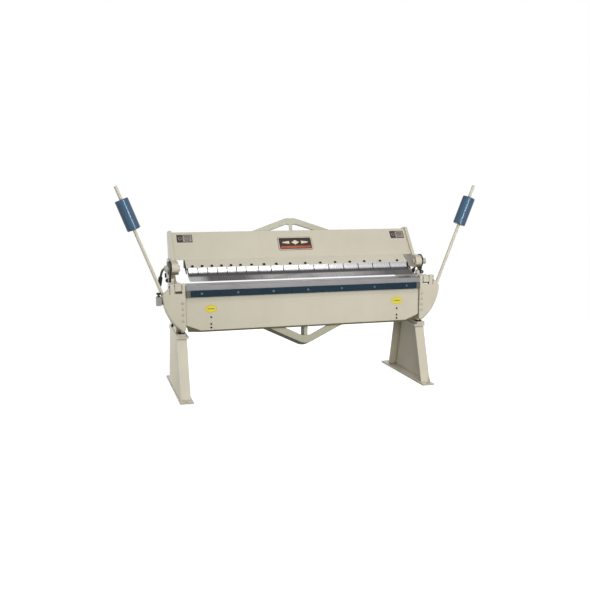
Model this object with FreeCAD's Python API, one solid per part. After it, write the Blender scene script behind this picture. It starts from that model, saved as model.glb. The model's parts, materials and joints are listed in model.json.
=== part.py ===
import FreeCAD, Part
import math
import os

# Box and pan brake, 72 inch working length, in millimetres.
#
# Row frame: origin on the floor, at the centre of the four floor anchor holes.  +X runs along
# the bend line to the operator's right, +Y runs from the operator to the back, +Z is up.
# Section outlines are written as (y, z) pairs measured from the bend line, which is the front
# top edge of the bed and the axis of the apron hinges.

V = FreeCAD.Vector

# ---- driving dimensions ----
INCH = 25.4
WORK_LENGTH = 72 * INCH
FINGER_WIDTHS_IN = [3] * 6 + [4] * 3 + [5] * 6 + [6] * 2
BEND_Y = -268.0            # bend line, in front of the anchor centre
BED_Z = 873.0              # working height of the bed
OPEN = 22.0                # the leaf stands open this far up and this far back
APRON_HALF = 957.0         # half length of the apron plate, the nose bar and the bed bar
BEAM_HALF = 925.0          # half length of the finger beam and the angle bar

WING_IN, WING_OUT = 960.5, 1139.0
SLOT_IN, SLOT_OUT = 985.0, 1044.0     # slot in each wing, for the hinge lug
LUG_OUT = 1039.0
EAR_OUT = 1080.0
FRAME_IN, FRAME_OUT = 990.0, 1026.0   # end frame web
ARM_IN, ARM_OUT = 988.0, 1040.0       # leaf end arm and saddle
PLATE_IN, PLATE_OUT = 1004.0, 1029.0  # leaf end plate

PIN_R = 8.0                # hinge pins
BUSH_R = 13.0
RUN_FIT = 0.05             # radial clearance of running fits and of located screws
M16_R, M12_R, M8_R = 8.0, 6.0, 4.0
FOOT_BOLT_HOLE_R = 8.5
ROD_R = 12.5               # counterweight rods
ROD_LEAN = math.degrees(math.atan2(310.0, 786.0))
ROD_Y = 29.0               # behind the bend line
WEIGHT_R, WEIGHT_LEN = 51.0, 235.0

SHAFT = (169.0, 112.0)     # clamp shaft centre, leaf open
SHAFT_R = 16.0
THROW, THROW_ANGLE = 24.5, 0.93       # eccentric throw and its direction, degrees above +Y
DISC_R, EYE_R = 45.0, 47.0            # eccentric disc, and the link's eye with its clearance
LINK_PIN = (185.0, 18.4)
LINK_LEN, LINK_ANGLE = 94.2, 84.95

FOOT_X, FOOT_HALF_Y = 986.5, 415.0    # anchor hole places
ANCHOR_R = 9.0
CAP_Z, CAP_T = 459.0, 15.0            # cap plate of a leg
FRAME_FOOT_T = 20.5                   # foot of an end frame, on the cap plate
FRAME_FOOT_TOP = CAP_Z + CAP_T + FRAME_FOOT_T
LEG_OUT = 1027.0                      # outer face of a leg's web
NODES = {}


# ---- helpers ----
def at(x, y, z):
    """A point given from the bend line."""
    return V(x, BEND_Y + y, BED_Z + z)


def prism(points, x0, x1):
    """A section outline, as (y, z) pairs from the bend line, extruded from x0 to x1."""
    corners = [at(x0, y, z) for y, z in points]
    wire = Part.makePolygon(corners + corners[:1])
    return Part.Face(wire).extrude(V(x1 - x0, 0, 0))


def box(x0, x1, y0, y1, z0, z1):
    """A block given by its limits, with y and z from the bend line."""
    return Part.makeBox(x1 - x0, y1 - y0, z1 - z0, at(x0, y0, z0))


def floor_box(x0, x1, y0, y1, z0, z1):
    """A block given by its limits in the row frame."""
    return Part.makeBox(x1 - x0, y1 - y0, z1 - z0, V(x0, y0, z0))


def x_cylinder(radius, x0, x1, y, z):
    return Part.makeCylinder(radius, x1 - x0, at(x0, y, z), V(1, 0, 0))


def moved(shape, x, y, z):
    copy = shape.copy()
    copy.translate(V(x, y, z))
    return copy


def mirrored(shape):
    return shape.mirror(V(0, 0, 0), V(1, 0, 0))


def raised(shape):
    """Take a leaf piece from its closed place to the open one."""
    return moved(shape, 0, OPEN, OPEN)


def both(shape):
    return Part.makeCompound([mirrored(shape), shape])


def keep(name, shape):
    NODES[name] = shape


def keep_pair(name, shape):
    keep("left_" + name, mirrored(shape))
    keep("right_" + name, shape)


def cap_screw(radius, length, head_r, head_h, socket=True):
    """Socket head screw along +Z, with the head's underside at the origin."""
    head = Part.makeCylinder(head_r, head_h)
    rim = [e for e in head.Edges if abs(e.BoundBox.ZMin - head_h) < 0.01 and e.BoundBox.XLength > 1]
    head = head.makeChamfer(0.12 * head_r, rim)
    if socket:
        head = head.cut(hexagon(0.55 * head_r, 0.5 * head_h, 0.5 * head_h))
    return head.fuse(Part.makeCylinder(radius, length, V(0, 0, 0), V(0, 0, -1))).removeSplitter()


def hexagon(radius, z0, height):
    corners = [V(radius * math.cos(math.radians(60 * i)), radius * math.sin(math.radians(60 * i)), z0)
               for i in range(6)]
    return Part.Face(Part.makePolygon(corners + corners[:1])).extrude(V(0, 0, height))


def aim(shape, place, direction):
    """Turn a shape from +Z to the direction and carry it to the place."""
    copy = shape.copy()
    copy.Placement = FreeCAD.Placement(place, FreeCAD.Rotation(V(0, 0, 1), direction))
    return copy


# ---- stand ----
def pedestal():
    """Welded leg: floor plate, two sloping flanges, a web flush with their outer edges, a cap."""
    foot_t, flange_t, web_t = 12.0, 10.0, 8.0
    front_low, front_high = (-379.0, foot_t), (-233.0, CAP_Z)
    back_low, back_high = (308.0, foot_t), (200.0, CAP_Z)
    inner, web_in = 950.0, LEG_OUT - web_t

    def plate(outline, x0, x1):
        corners = [V(x0, y, z) for y, z in outline]
        return Part.Face(Part.makePolygon(corners + corners[:1])).extrude(V(x1 - x0, 0, 0))

    def shifted(point, step):
        return (point[0] + step, point[1])

    leg = floor_box(935, 1038, -439, 439, 0, foot_t)
    leg = leg.fuse(floor_box(936, 1031, -250, 215, CAP_Z, CAP_Z + CAP_T))
    leg = leg.fuse(plate([front_low, shifted(front_low, flange_t), shifted(front_high, flange_t),
                          front_high], inner, LEG_OUT))
    leg = leg.fuse(plate([back_low, shifted(back_low, -flange_t), shifted(back_high, -flange_t),
                          back_high], inner, LEG_OUT))
    leg = leg.fuse(plate([front_low, back_low, back_high, front_high], web_in, LEG_OUT))
    for end_y in (-395.0, 324.0):
        run = -55.0 if end_y > 0 else 55.0
        gusset = plate([(end_y, foot_t), (end_y + run, foot_t), (end_y + run, foot_t + 90)],
                       web_in, LEG_OUT)
        leg = leg.fuse(gusset)
    for sign in (-1, 1):
        leg = leg.cut(Part.makeCylinder(ANCHOR_R, 40, V(FOOT_X, sign * FOOT_HALF_Y, -10)))
    for x, y in foot_bolt_places():
        leg = leg.cut(Part.makeCylinder(FOOT_BOLT_HOLE_R, 60, V(x, y, CAP_Z - 20)))
    return leg.removeSplitter()


def foot_bolt_places():
    return [(x, y) for x in (974.0, 1004.0) for y in (-212.0, 178.0)]


def end_frame():
    """Cast side frame: foot, web with a window, hinge lug and the level way for the saddle."""
    web = prism([(78, -379), (78, -365), (60, -335), (60, -52), (-10, -52), (-22, -40), (-22, 2),
                 (-10, 14), (55, 14),
                 (70, -23), (560, -23), (560, -75), (450, -340), (425, -379)], FRAME_IN, FRAME_OUT)
    window = prism([(120, -330), (385, -330), (440, -120), (120, -120)], FRAME_IN - 5, FRAME_OUT + 5)
    sharp = [e for e in window.Edges if abs(e.BoundBox.XLength - 46) < 0.1]
    web = web.cut(window.makeFillet(35, sharp))
    lug = prism([(60, -52), (-10, -52), (-22, -40), (-22, 2), (-10, 14), (55, 14), (60, 0)],
                FRAME_IN, LUG_OUT)
    foot = floor_box(962, 1031, -245, 210, CAP_Z + CAP_T, FRAME_FOOT_TOP)
    frame = web.fuse(lug).fuse(foot)
    frame = frame.cut(x_cylinder(BUSH_R, FRAME_IN - 5, LUG_OUT + 5, 0, 0))
    frame = frame.cut(box(1001, 1015, 60, 600, -35, 0))
    for x, y in foot_bolt_places():
        frame = frame.cut(Part.makeCylinder(FOOT_BOLT_HOLE_R, 60, V(x, y, CAP_Z)))
    for y, z in bed_bolt_places():
        frame = frame.cut(x_cylinder(M16_R + RUN_FIT, 960, 1040, y, z))
    for y in (538.0, 553.0):
        frame = frame.cut(Part.makeCylinder(M8_R + RUN_FIT, 80, at(1008, y, -75)))
    return frame.removeSplitter()


def foot_bolts():
    solids = []
    for side in (-1, 1):
        for x, y in foot_bolt_places():
            head = hexagon(12.5, 0, 10)
            nut = hexagon(12.5, -CAP_T - FRAME_FOOT_T - 13, 13)
            shank = Part.makeCylinder(M16_R, 52, V(0, 0, -50))
            bolt = head.fuse(nut).fuse(shank).removeSplitter()
            solids.append(moved(bolt, side * x, y, FRAME_FOOT_TOP))
    return Part.makeCompound(solids)


# ---- bed ----
def bed_bolt_places():
    return [(90.0, -85.0), (90.0, -300.0), (305.0, -85.0), (250.0, -348.0)]


def bed_bar():
    """Machined bar that the sheet lies on, with a relieved lower front edge."""
    return prism([(0.5, 0), (110, 0), (110, -39), (14, -39), (0.5, -25)], -APRON_HALF, APRON_HALF)


def bed_web():
    return box(-970, 970, 40, 60, -330, -39)


def bed_shelves():
    """Upper and lower plates that close the bed's box at the back."""
    upper = box(-970, 970, 60, 330, -51, -39)
    lower = box(-970, 970, 60, 330, -330, -318)
    return Part.makeCompound([upper, lower])


def bed_ribs():
    rib = [(60, -318), (60, -51), (330, -51), (330, -100), (190, -318)]
    return Part.makeCompound([prism(rib, x - 6, x + 6) for x in (-640, -320, 0, 320, 640)])


def bed_end_plates():
    plate = prism([(40, -368), (40, -39), (330, -39), (330, -330), (290, -368)], 970, FRAME_IN)
    for y, z in bed_bolt_places():
        plate = plate.cut(x_cylinder(M16_R + RUN_FIT, 960, 1000, y, z))
    return both(plate)


def bed_bolts():
    solids = []
    for y, z in bed_bolt_places():
        screw = aim(cap_screw(M16_R, 54, 13, 14), at(FRAME_OUT, y, z), V(1, 0, 0))
        solids += [screw, mirrored(screw)]
    return Part.makeCompound(solids)


def hinge_bushes():
    bush = x_cylinder(BUSH_R, FRAME_IN, LUG_OUT, 0, 0)
    return both(bush.cut(x_cylinder(PIN_R + RUN_FIT, FRAME_IN - 1, SLOT_OUT, 0, 0)))


# ---- saddles and set-back screws ----
SCREW_X, SCREW_Z = 1008.0, 8.0


def saddle():
    """Casting on the end frame's way: level base, inclined way for the leaf, lug for the link."""
    base = box(ARM_IN, ARM_OUT, 143, 498, -22.9, -1)
    tower = prism([(300, -1.5), (443, 141.5), (483, 141.5), (498, -1.5)], ARM_IN, ARM_OUT)
    tongue = box(1001.1, 1014.9, 143, 498, -34.5, -22)
    key = prism([(312, 4.8), (443, 135.8), (443, 141.5), (438.5, 146), (301, 8.5)], 1004, 1024)
    lug = box(1020, 1042, 165, 205, -10, 18.4).fuse(x_cylinder(20, 1020, 1042, *LINK_PIN))
    body = base.fuse(tower).fuse(tongue).fuse(key).fuse(lug)
    body = body.cut(x_cylinder(9, 1015, 1050, *LINK_PIN))
    bore = Part.makeCylinder(8 + RUN_FIT, 21, at(SCREW_X, 478, SCREW_Z), V(0, 1, 0))
    return body.cut(bore).removeSplitter()


def link_pin():
    pin = x_cylinder(9, 1020, 1062, *LINK_PIN)
    return both(pin.fuse(x_cylinder(14, 1062, 1068, *LINK_PIN)).removeSplitter())


def screw_bracket():
    block = box(FRAME_IN, FRAME_OUT, 530, 560, -23, 30)
    block = block.cut(Part.makeCylinder(8 + RUN_FIT, 40, at(SCREW_X, 525, SCREW_Z), V(0, 1, 0)))
    return both(block)


def setback_screw():
    """Screw with a fluted hand knob; its plain tip turns in the saddle."""
    stem = Part.makeCylinder(8, 122, at(SCREW_X, 480, SCREW_Z), V(0, 1, 0))
    knob = Part.makeCylinder(35, 24, at(SCREW_X, 602, SCREW_Z), V(0, 1, 0))
    for i in range(8):
        turn = math.radians(45 * i)
        place = at(SCREW_X + 37 * math.cos(turn), 595, SCREW_Z + 37 * math.sin(turn))
        knob = knob.cut(Part.makeCylinder(6, 40, place, V(0, 1, 0)))
    hub = Part.makeCylinder(15, 12, at(SCREW_X, 590, SCREW_Z), V(0, 1, 0))
    return stem.fuse(hub).fuse(knob).removeSplitter()


# ---- fingers and upper leaf, drawn closed and then raised ----
FLARE_LOW, FLARE_HIGH = (137.0, 90.0), (235.0, 143.0)
PANEL_TOP = (395.0, 351.0)
LIP = 18.0


def flare_step(along, inward):
    """A point on the beam's flared front, along it from its lower edge and inward from it."""
    dy, dz = FLARE_HIGH[0] - FLARE_LOW[0], FLARE_HIGH[1] - FLARE_LOW[1]
    size = math.hypot(dy, dz)
    uy, uz = dy / size, dz / size
    return (FLARE_LOW[0] + along * uy + inward * uz, FLARE_LOW[1] + along * uz - inward * uy)


def finger(x0, x1):
    """One clamping finger: sharp nose, sloping toe, bright front face and a tongue in the beam."""
    outline = [(0.4, 0), (0, 0.3), (1.5, 1.7), (57, 31), (100, 45), (111, 49.5), (119, 56),
               (124, 64), FLARE_LOW, flare_step(0, LIP), flare_step(60, LIP),
               flare_step(60, LIP + 22), (152, 44), (132, 26), (104, 12), (70, 3), (40, 0)]
    body = prism(outline, x0 + 0.3, x1 - 0.3)
    band = [(103, 47), (112, 51), (118, 58), (129, 88), (140, 96), (140, 60), (112, 40)]
    for edge in (x0, x1):
        body = body.cut(prism(band, edge - 3.2, edge + 3.2))
    middle = at((x0 + x1) / 2, *flare_step(FINGER_SCREW_ALONG, 15))
    hole = Part.makeCylinder(M12_R + RUN_FIT, 30, middle, flare_inward())
    return raised(body.cut(hole)).removeSplitter()


def flare_inward():
    y0, z0 = flare_step(0, 0)
    y1, z1 = flare_step(0, 1)
    return V(0, y1 - y0, z1 - z0)


def finger_spans():
    spans, x = [], -WORK_LENGTH / 2
    for inches in FINGER_WIDTHS_IN:
        spans.append((inches, x, x + inches * INCH))
        x += inches * INCH
    return spans


def finger_groups():
    groups = {}
    for inches, x0, x1 in finger_spans():
        groups.setdefault(inches, []).append(finger(x0, x1))
    for inches, solids in groups.items():
        keep("fingers_%d_inch" % inches, Part.makeCompound(solids))


FINGER_SCREW_ALONG, FINGER_SCREW_SEAT = 20.0, 3.0   # place up the lip, depth of the head's seat
FINGER_HEAD_R = 10.5


def finger_beam():
    """Beam along the leaf's foot: a flared lip over the finger tongues, and a heel behind them."""
    outline = [FLARE_LOW, FLARE_HIGH, (275, 143), (275, 80), (213, 80), flare_step(61, LIP + 22),
               flare_step(61, LIP), flare_step(0, LIP)]
    beam = prism(outline, -BEAM_HALF, BEAM_HALF)
    for _, x0, x1 in finger_spans():
        place = at((x0 + x1) / 2, *flare_step(FINGER_SCREW_ALONG, -5))
        beam = beam.cut(Part.makeCylinder(M12_R + RUN_FIT, 40, place, flare_inward()))
        seat = Part.makeCylinder(FINGER_HEAD_R + 1, 5 + FINGER_SCREW_SEAT, place, flare_inward())
        beam = beam.cut(seat)
    return raised(beam)


def beam_end_plates():
    """Dark plates on the beam's ends, which keep the end fingers in line."""
    outline = [(113, 50.5), (119, 56), (124, 64), FLARE_LOW, FLARE_HIGH, (275, 143), (275, 80),
               (213, 80), (160, 52), (132, 42)]
    return both(raised(prism(outline, BEAM_HALF, BEAM_HALF + 4)))


def finger_screws():
    solids = []
    outward = flare_inward() * -1
    for _, x0, x1 in finger_spans():
        place = at((x0 + x1) / 2, *flare_step(FINGER_SCREW_ALONG, FINGER_SCREW_SEAT))
        solids.append(raised(aim(cap_screw(M12_R, 31, FINGER_HEAD_R, 10), place, outward)))
    return Part.makeCompound(solids)


def leaf_panel():
    """Sloping front plate of the upper leaf."""
    outline = [FLARE_HIGH, PANEL_TOP, (404.5, 343.7), (250.2, 143)]
    return raised(prism(outline, -PLATE_IN, PLATE_IN))


def leaf_ribs():
    outline = [(250.2, 143), (394.6, 330.8), (430, 303), (275, 143)]
    return Part.makeCompound([raised(prism(outline, x - 6, x + 6)) for x in (-760, -380, 0, 380, 760)])


def leaf_top_rail():
    outline = [(395.0, 331.2), (404.4, 343.5), (475, 343.5), (475, 331.2)]
    return raised(prism(outline, -PLATE_IN, PLATE_IN))


def leaf_end():
    """Leaf end casting: upright plate, and an arm with the clamp shaft's hub at its front."""
    low, high = SHAFT[1] - 50, SHAFT[1] + 50
    arm = prism([(SHAFT[0], low), (363.2, low), (463.2, high), (SHAFT[0], high)], ARM_IN, ARM_OUT)
    arm = arm.fuse(x_cylinder(50, ARM_IN, ARM_OUT, *SHAFT))
    plate = raised(prism([(214.6, 136), (385.5, 358.3), (400, 364), (478, 345), (478, 331.2),
                          (445, 157), (424, 136)], PLATE_IN, PLATE_OUT))
    body = arm.fuse(plate)
    groove = prism([(300.2, -15), (500, 185), (485, 199), (290, 4)], 1003.8, 1024.2)
    body = body.cut(groove)
    return body.cut(x_cylinder(SHAFT_R + RUN_FIT, ARM_IN - 5, ARM_OUT + 5, *SHAFT)).removeSplitter()


def truss_frame(shape, foot_y, foot_z, lean):
    """Carry a truss piece drawn in the XZ plane to its place, leaning back."""
    copy = shape.copy()
    copy.rotate(V(0, 0, 0), V(1, 0, 0), -lean)
    return moved(copy, 0, BEND_Y + foot_y, BED_Z + foot_z)


def flat_face(points):
    """A face from an outline of (x, z) pairs, in the XZ plane."""
    corners = [V(x, 0, z) for x, z in points]
    return Part.Face(Part.makePolygon(corners + corners[:1]))


def flat_shape(points, depth):
    """An outline of (x, z) pairs, extruded along +Y."""
    return flat_face(points).extrude(V(0, depth, 0))


UPPER_LEAN = 23.8


def upper_truss():
    """Roof-shaped brace over the leaf with a short level crown, and its middle strut."""
    outline = [(-350, 0), (-52, 110), (-30, 114), (30, 114), (52, 110), (350, 0), (212, 0),
               (40, 61), (-40, 61), (-212, 0)]
    strut = [(-12.5, -4), (12.5, -4), (12.5, 62), (-12.5, 62)]
    flat = flat_shape(outline, 16).fuse(flat_shape(strut, 16))
    brace = truss_frame(flat, 438, 343.5, UPPER_LEAN)
    return raised(brace.cut(box(-400, 400, 300, 600, 300, 343.5))).removeSplitter()


def panel_point(x, along, outward=0.0):
    """A point on the raised panel's front face."""
    dy, dz = PANEL_TOP[0] - FLARE_HIGH[0], PANEL_TOP[1] - FLARE_HIGH[1]
    size = math.hypot(dy, dz)
    uy, uz = dy / size, dz / size
    y = FLARE_HIGH[0] + along * uy - outward * uz
    z = FLARE_HIGH[1] + along * uz + outward * uy
    return at(x, OPEN + y, OPEN + z)


def panel_badge(outline, thickness):
    """A plate lying on the panel: outline of (x, distance up the panel) pairs."""
    corners = [panel_point(x, along) for x, along in outline]
    step = panel_point(0, 0, thickness) - panel_point(0, 0)
    return Part.Face(Part.makePolygon(corners + corners[:1])).extrude(step)


def round_cornered(half_width, low, high, radius, middle=0.0):
    """Outline of a round-cornered plate, as (x, distance up the panel) pairs."""
    points = []
    for x_sign, along, turn in ((1, high, 0), (-1, high, 90), (-1, low, 180), (1, low, 270)):
        inner_x = middle + x_sign * (half_width - radius)
        inner_along = along - radius if along == high else along + radius
        for step in range(5):
            angle = math.radians(turn + 22.5 * step)
            points.append((inner_x + radius * math.cos(angle), inner_along + radius * math.sin(angle)))
    return points


def name_badge():
    return panel_badge(round_cornered(146, 69, 196, 16), 2.0)


def data_plates():
    return Part.makeCompound([panel_badge(round_cornered(62, 165, 237, 4, middle), 1.2)
                              for middle in (-905, 919)])


# ---- clamp ----
def throw_centre():
    turn = math.radians(THROW_ANGLE)
    return (SHAFT[0] + THROW * math.cos(turn), SHAFT[1] + THROW * math.sin(turn))


def clamp_shaft():
    """Shaft with its eccentric disc, a retaining flange, and the hub with its bent hand lever."""
    shaft = x_cylinder(SHAFT_R, ARM_IN - 12, 1094, *SHAFT)
    shaft = shaft.fuse(x_cylinder(24, ARM_IN - 12, ARM_IN - 0.5, *SHAFT))
    shaft = shaft.fuse(x_cylinder(DISC_R, ARM_OUT + 1, 1061, *throw_centre()))
    shaft = shaft.fuse(x_cylinder(50, 1061, 1065, *throw_centre()))
    shaft = shaft.fuse(x_cylinder(24, 1065, 1090, *SHAFT))
    return shaft.fuse(lever_rod()).removeSplitter()


def lever_path():
    return [at(1082, SHAFT[0] + 14, SHAFT[1] - 4), at(1092, SHAFT[0] + 130, SHAFT[1] - 26),
            at(1098, SHAFT[0] + 235, SHAFT[1] - 95)]


def lever_rod():
    start, middle, end = lever_path()
    curve = Part.Arc(start, middle, end).toShape()
    circle = Part.makeCircle(9, start, curve.tangentAt(curve.FirstParameter))
    return Part.Wire([curve]).makePipeShell([Part.Wire([circle])], True, False)


def lever_grip():
    start, middle, end = lever_path()
    curve = Part.Arc(start, middle, end).toShape()
    direction = curve.tangentAt(curve.LastParameter)
    grip = Part.makeCylinder(17, 105, end, direction)
    grip = grip.makeFillet(7, [e for e in grip.Edges if e.Length > 60])
    return grip


def clamp_link():
    """Link plate: large eye on the eccentric disc, small eye on the saddle's pin."""
    turn = math.radians(LINK_ANGLE)
    eye = (LINK_PIN[0] + LINK_LEN * math.cos(turn), LINK_PIN[1] + LINK_LEN * math.sin(turn))
    x0, x1 = ARM_OUT + 4, ARM_OUT + 20
    body = x_cylinder(57, x0, x1, *eye).fuse(x_cylinder(17.5, x0, x1, *LINK_PIN))
    body = body.fuse(prism([(LINK_PIN[0] - 17, LINK_PIN[1]), (LINK_PIN[0] + 17, LINK_PIN[1]),
                            (eye[0] + 42, eye[1] - 30), (eye[0] - 42, eye[1] - 30)], x0, x1))
    body = body.cut(x_cylinder(EYE_R, x0 - 1, x1 + 1, *eye))
    return body.cut(x_cylinder(9 + RUN_FIT, x0 - 1, x1 + 1, *LINK_PIN)).removeSplitter()


# ---- apron ----
SCREW_PITCH = 11 * INCH
ANGLE_SCREW_Z = -64.0


def angle_bar_screw_places():
    return [SCREW_PITCH * i for i in range(-3, 4)]


FACE_FOOT, FLANGE_Z = -351.0, -366.0    # foot of the apron's face, underside of its flange
FACE_Y, FOLD, FLANGE_BACK = -1.0, 13.0, 129.0   # apron's face, depth of its fold, flange's back
APRON_T = 12.0
CLIP_HALF, CLIP_RISE = 845.0, -306.0    # inner end and height of the clipped lower corners


def apron_plate():
    """Front plate with a chamfered fold and a level flange at its foot, corners clipped."""
    section = [(FACE_Y, -39.5), (FACE_Y, FACE_FOOT), (FACE_Y + FOLD, FLANGE_Z),
               (FLANGE_BACK, FLANGE_Z), (FLANGE_BACK, FLANGE_Z + APRON_T),
               (FACE_Y + FOLD + 5, FLANGE_Z + APRON_T), (FACE_Y + APRON_T, FACE_FOOT + 5),
               (FACE_Y + APRON_T, -39.5)]
    plate = prism(section, -APRON_HALF, APRON_HALF)
    for sign in (-1, 1):
        corner = flat_shape([(sign * 960, -380), (sign * 960, CLIP_RISE), (sign * 958, CLIP_RISE),
                             (sign * CLIP_HALF, FACE_FOOT), (sign * CLIP_HALF, -380)], 200)
        plate = plate.cut(moved(corner, 0, BEND_Y - 2, BED_Z)).fuse(corner_plate(sign))
    for x in angle_bar_screw_places():
        plate = plate.cut(y_hole(M12_R + RUN_FIT, x, ANGLE_SCREW_Z))
    for x, z in plate_screw_places():
        plate = plate.cut(y_hole(M8_R + RUN_FIT, x, z))
    return plate.removeSplitter()


def corner_plate(sign):
    """Sloping plate that closes a clipped corner, from the face's slanted edge down to the flange."""
    top, inner = at(sign * APRON_HALF, FACE_Y, CLIP_RISE), at(sign * CLIP_HALF, FACE_Y, FACE_FOOT)
    foot = at(sign * CLIP_HALF, FACE_Y + FOLD, FLANGE_Z)
    toe, heel = at(sign * 938, 44, FLANGE_Z), at(sign * CLIP_HALF, FLANGE_BACK, FLANGE_Z)

    def triangle(a, b, c, step):
        return Part.Face(Part.makePolygon([a, b, c, a])).extrude(step)

    slope = triangle(top, inner, toe, V(0, APRON_T, 6))
    fold = triangle(inner, foot, toe, V(0, APRON_T, 6))
    floor = triangle(foot, toe, heel, V(0, 0, APRON_T))
    return slope.fuse(fold).fuse(floor)


def y_hole(radius, x, z):
    return Part.makeCylinder(radius, 90, at(x, -40, z), V(0, 1, 0))


def plate_screw_places():
    return [(sign * 766, z) for sign in (-1, 1) for z in (-251, -304, -332)]


def plate_screws():
    solids = []
    for x, z in plate_screw_places():
        solids.append(aim(cap_screw(M8_R, 16, 7, 4), at(x, FACE_Y, z), V(0, -1, 0)))
    return Part.makeCompound(solids)


def nose_bar():
    """Machined bending edge; its top lies a hair below the bed."""
    return box(-APRON_HALF, APRON_HALF, -26, -0.5, -39, -0.3)


def angle_bar():
    """Bar under the nose bar, held to the apron plate by counterbored screws."""
    bar = box(-BEAM_HALF, BEAM_HALF, -31, -1, -90, -39)
    for x in angle_bar_screw_places():
        bar = bar.cut(y_hole(M12_R + RUN_FIT, x, ANGLE_SCREW_Z))
        bar = bar.cut(Part.makeCylinder(11, 9, at(x, -32, ANGLE_SCREW_Z), V(0, 1, 0)))
    return bar


def angle_bar_screws():
    solids = []
    for x in angle_bar_screw_places():
        solids.append(aim(cap_screw(M12_R, 33, 9.5, 9), at(x, -23, ANGLE_SCREW_Z), V(0, -1, 0)))
    return Part.makeCompound(solids)


def end_blocks():
    return both(box(BEAM_HALF, APRON_HALF, -31, -1, -90, -39))


def wing_bolt_heights():
    return [-133.0, -178.0, -223.0, -268.0]


def wing():
    """End wing: quarter-round plate with two hinge ears either side of a slot."""
    floor, top, rim, plate_t = -60.0, 14.0, 20.0, 30.0
    upright = [(1000, -348), (976, -353), (WING_IN, -338), (WING_IN, top), (SLOT_IN, top),
               (SLOT_IN, floor), (SLOT_OUT, floor), (SLOT_OUT, top), (EAR_OUT, top),
               (EAR_OUT, -14), (1128, -62), (WING_OUT, -84)]
    points = [V(x, BEND_Y - 19, BED_Z + z) for x, z in upright]
    curve = Part.Arc(points[-1], V(1094, BEND_Y - 19, BED_Z - 236), points[0]).toShape()
    edges = Part.makePolygon(points).Edges + curve.Edges
    plate = Part.Face(Part.Wire(Part.__sortEdges__(edges))).extrude(V(0, plate_t, 0))
    front_curve = [e for e in plate.Edges
                   if e.Length > 250 and e.BoundBox.YMax < BEND_Y - 18 and e.BoundBox.XLength > 100]
    plate = plate.makeFillet(rim, front_curve)
    for x0, x1 in ((WING_IN, SLOT_IN), (SLOT_OUT, EAR_OUT)):
        ear = prism([(0, -34), (11, -34), (19, -20), (19, 4), (9, top), (0, top)], x0, x1)
        plate = plate.fuse(ear)
    top_edges = [e for e in plate.Edges if abs(e.BoundBox.ZMin - BED_Z - top) < 0.01
                 and abs(e.BoundBox.ZMax - BED_Z - top) < 0.01
                 and e.BoundBox.YMax < BEND_Y - 18.9 and e.BoundBox.XLength > 20]
    plate = plate.makeFillet(9, top_edges)
    plate = plate.cut(x_cylinder(PIN_R, WING_IN - 5, EAR_OUT + 5, 0, 0))
    for z in wing_bolt_heights():
        plate = plate.cut(y_hole(M12_R + RUN_FIT, 981, z))
    plate = plate.cut(box(EAR_OUT - 5, EAR_OUT, -25, -7, floor - 4, top + 5))
    return plate.removeSplitter()


def hinge_pin():
    pin = x_cylinder(PIN_R, WING_IN + 1, EAR_OUT + 3, 0, 0)
    return both(pin.fuse(x_cylinder(12.5, EAR_OUT + 0.02, EAR_OUT + 7, 0, 0)).removeSplitter())


def backing_bars():
    """Flat bars behind the seams between the apron plate and the wings."""
    bar = box(905, 1000, 11, 31, -290, -112)
    for z in wing_bolt_heights():
        bar = bar.cut(y_hole(M12_R + RUN_FIT, 981, z))
    return both(bar)


def wing_bolts():
    solids = []
    for z in wing_bolt_heights():
        bolt = aim(cap_screw(M12_R, 46, 10, 6), at(981, -19, z), V(0, -1, 0))
        solids += [bolt, mirrored(bolt)]
    return Part.makeCompound(solids)


def vee_outline(run, rise, crown_r, grow):
    """Upper-to-lower strip of a vee hung from z = 0: half run, depth, crown radius, strip height."""
    slope = math.atan2(rise, run)
    centre = crown_r / math.cos(slope) - rise
    points = [(-run - 100, 100 * math.tan(slope))]
    for step in range(-3, 4):
        turn = slope * step / 3
        points.append((crown_r * math.sin(turn), centre - crown_r * math.cos(turn)))
    points.append((run + 100, 100 * math.tan(slope)))
    return points + [(x, z + grow) for x, z in reversed(points)]


def lower_truss():
    """Brace under the apron's flange: a vee of angle section with a sloping lower leg, a strut."""
    run, rise, crown_r, front = 300.0, 146.0, 110.0, 21.0
    band, strip = 60.0, 13.0
    strut_half, strut_back, strut_fall = 14.0, 124.0, 32.0
    upright = flat_shape(vee_outline(run, rise, crown_r, band), strip)
    leg = flat_face(vee_outline(run, rise, crown_r, strip)).extrude(V(0, 106, -36))
    body = moved(upright.fuse(leg), 0, BEND_Y + front, BED_Z + FLANGE_Z)
    low, high = FLANGE_Z - rise + 30, FLANGE_Z + 5
    strut_outline = [(front + 10, low), (strut_back, low - strut_fall), (strut_back, high),
                     (front + 10, high)]
    body = body.fuse(prism(strut_outline, -strut_half, strut_half))
    return body.cut(box(-600, 600, 0, 200, FLANGE_Z, 0)).removeSplitter()


def rod_direction():
    lean = math.radians(ROD_LEAN)
    return V(math.sin(lean), 0, math.cos(lean))


ROD_BASE = (1102.3, -134.8)    # x and z of the rod's foot
ROD_LENGTH = 941.0


def rod_point(distance):
    return at(ROD_BASE[0], ROD_Y, ROD_BASE[1]) + rod_direction() * distance


def counterweight_rod():
    rod = Part.makeCylinder(ROD_R, ROD_LENGTH, rod_point(0), rod_direction())
    return rod.makeChamfer(2, [e for e in rod.Edges if e.Length < 90])


def rod_socket():
    """Block on the wing's back that holds the rod's foot, with a clamp screw."""
    return socket_block().cut(Part.makeCylinder(ROD_R, 200, rod_point(0), rod_direction()))


def socket_block():
    block = Part.makeBox(36, 36, 60, V(-18, -18, -14))
    block.Placement = FreeCAD.Placement(rod_point(0), FreeCAD.Rotation(V(0, 1, 0), ROD_LEAN))
    return block


WEIGHT_LOW_Z = 1298.0          # height of a weight's lower end on its rod's axis


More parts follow.
